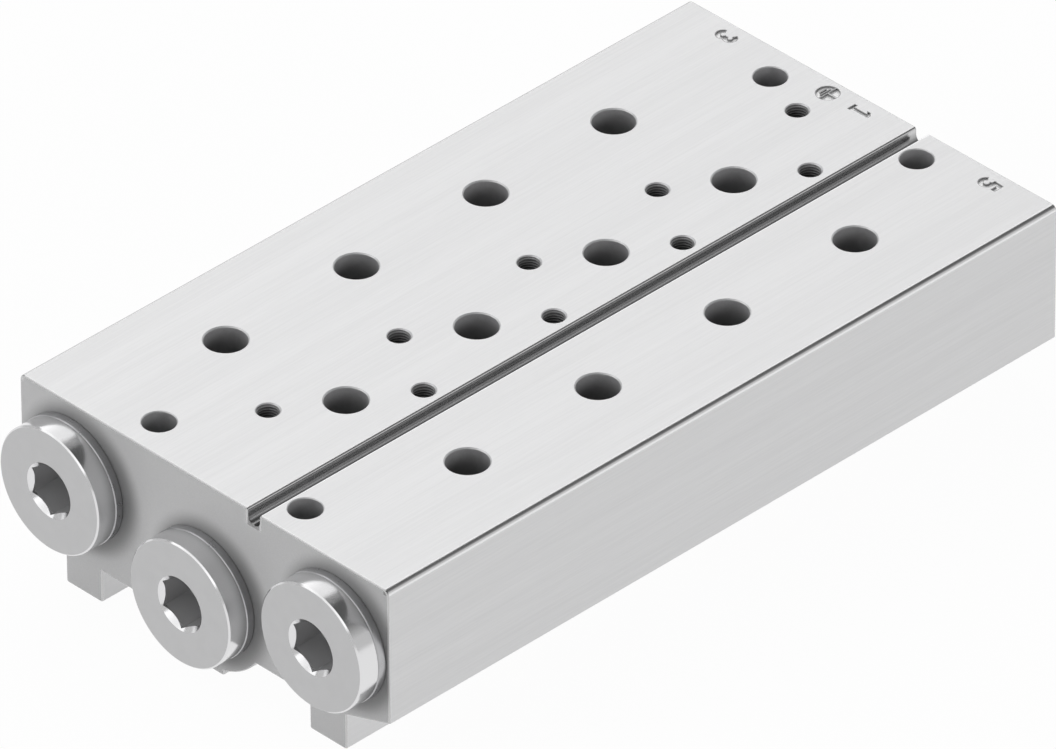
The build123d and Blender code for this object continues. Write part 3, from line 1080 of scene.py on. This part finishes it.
def add_floor(stage):
    """The pale floor, which lies just under the feet and curves up into a wall all round."""
    under_feet, flat_radius, bend, bend_steps, wall_top = -0.00005, 7, 1, 12, 3
    bm = bmesh.new()
    pen = Sketch(bm, 0, under_feet).line(flat_radius, under_feet)
    pen.arc(flat_radius, bend, -90, bend_steps).line(flat_radius + bend, wall_top)
    full_turn(bm, FLOOR_FACETS)
    floor = mesh_object("studio_floor", bm)
    material, graph = new_material("studio_floor")
    mottle = graph.noise(graph.place(), 0.004, 2.0)
    paint = graph.blend(mottle, shade(stage.floor, 0.99), shade(stage.floor, 1.01))
    seen = seen_directly(graph)
    bounced = graph.blend(seen, shade(stage.floor, 0.5), paint)
    matt = graph.node("ShaderNodeBsdfDiffuse", {}, {"Color": bounced})
    lit = graph.node("ShaderNodeEmission", {}, {"Color": (1, 1, 1, 1), "Strength": 1.0})
    wall = graph.axes(graph.place())[2].rise(50, 400)
    lit_share = seen * (0.96 - wall * 0.4)
    mixed = graph.node("ShaderNodeMixShader", {}, {0: lit_share, 1: matt, 2: lit})
    graph.node("ShaderNodeOutputMaterial", {}, {"Surface": mixed})
    floor.data.materials.append(material)


def light_room(scene, stage):
    """Soft light from all round the horizon, and less from overhead."""
    world = bpy.data.worlds.new("studio_room")
    scene.world = world
    graph = Graph(world)
    up = graph.axes(graph.node("ShaderNodeTexCoord", output="Generated"))[2]
    strength = up.rise(0.3, 0.75, stage.horizon, stage.sky)
    background = graph.node("ShaderNodeBackground", {}, {"Color": (1, 1, 1, 1), "Strength": strength})
    graph.node("ShaderNodeOutputWorld", {}, {"Surface": background})


class VALVEBLOCK_OT_stage(bpy.types.Operator):
    """Sets the camera, the soft studio lamps, the room light and the pale floor"""

    bl_idname = "valve_block.stage"
    bl_label = "Make stage"
    bl_options = {"REGISTER", "UNDO"}

    def execute(self, context):
        scene, stage = context.scene, context.scene.valve_stage
        scene.view_settings.view_transform = "Standard"
        add_camera(scene, stage)
        add_floor(stage)
        light_room(scene, stage)
        top, middle = (0, 0, 0.03), (0, 0, 0.02)
        add_lamp("softbox", stage.key, 1.5, 1.4, (-0.4, -0.1, 1.2), top)
        add_lamp("back_softbox", stage.back, 0.95, 0.95, (-0.65, 0.63, 0.68), top)
        add_lamp("side_fill", stage.fill, 0.8, 0.8, (1.9, 0.25, 0.5), middle, mirrored=False)
        add_lamp("front_card", stage.front, 3.6, 0.7, (-0.4, -1.85, 1.28), middle)
        add_lamp("low_lamp", stage.low, 1.4, 0.55, (-0.95, -1.6, 0.3), middle, mirrored=False)
        return {"FINISHED"}


GROUPS = {
    "valve_rail": RailSizes,
    "valve_plug": PlugSizes,
    "valve_ring": RingSizes,
    "valve_finishes": Finishes,
    "valve_stage": StageSettings,
}
OPERATORS = (VALVEBLOCK_OT_rail, VALVEBLOCK_OT_plugs, VALVEBLOCK_OT_rings, VALVEBLOCK_OT_stage)


class VALVEBLOCK_PT_panel(bpy.types.Panel):
    """Lists the sizes and the steps"""

    bl_idname = "VALVEBLOCK_PT_panel"
    bl_label = "Valve connection block"
    bl_space_type = "VIEW_3D"
    bl_region_type = "UI"
    bl_category = "Valve block"

    def draw(self, context):
        for step in OPERATORS:
            self.layout.operator(step.bl_idname)
        for name, group in GROUPS.items():
            box = self.layout.box()
            box.label(text=group.__doc__)
            for prop in group.__annotations__:
                box.prop(getattr(context.scene, name), prop)


CLASSES = (*GROUPS.values(), *OPERATORS, VALVEBLOCK_PT_panel)


def register():
    for cls in CLASSES:
        bpy.utils.register_class(cls)
    for name, group in GROUPS.items():
        setattr(bpy.types.Scene, name, PointerProperty(type=group))


def unregister():
    for name in GROUPS:
        delattr(bpy.types.Scene, name)
    for cls in reversed(CLASSES):
        bpy.utils.unregister_class(cls)


def main():
    """Registers the add-on, then makes the stage, the rail, the screw plugs and the sealing rings in that
    order.
    """
    register()
    bpy.ops.valve_block.stage()
    bpy.ops.valve_block.rail()
    bpy.ops.valve_block.plugs()
    bpy.ops.valve_block.rings()


if __name__ == "__main__":
    main()
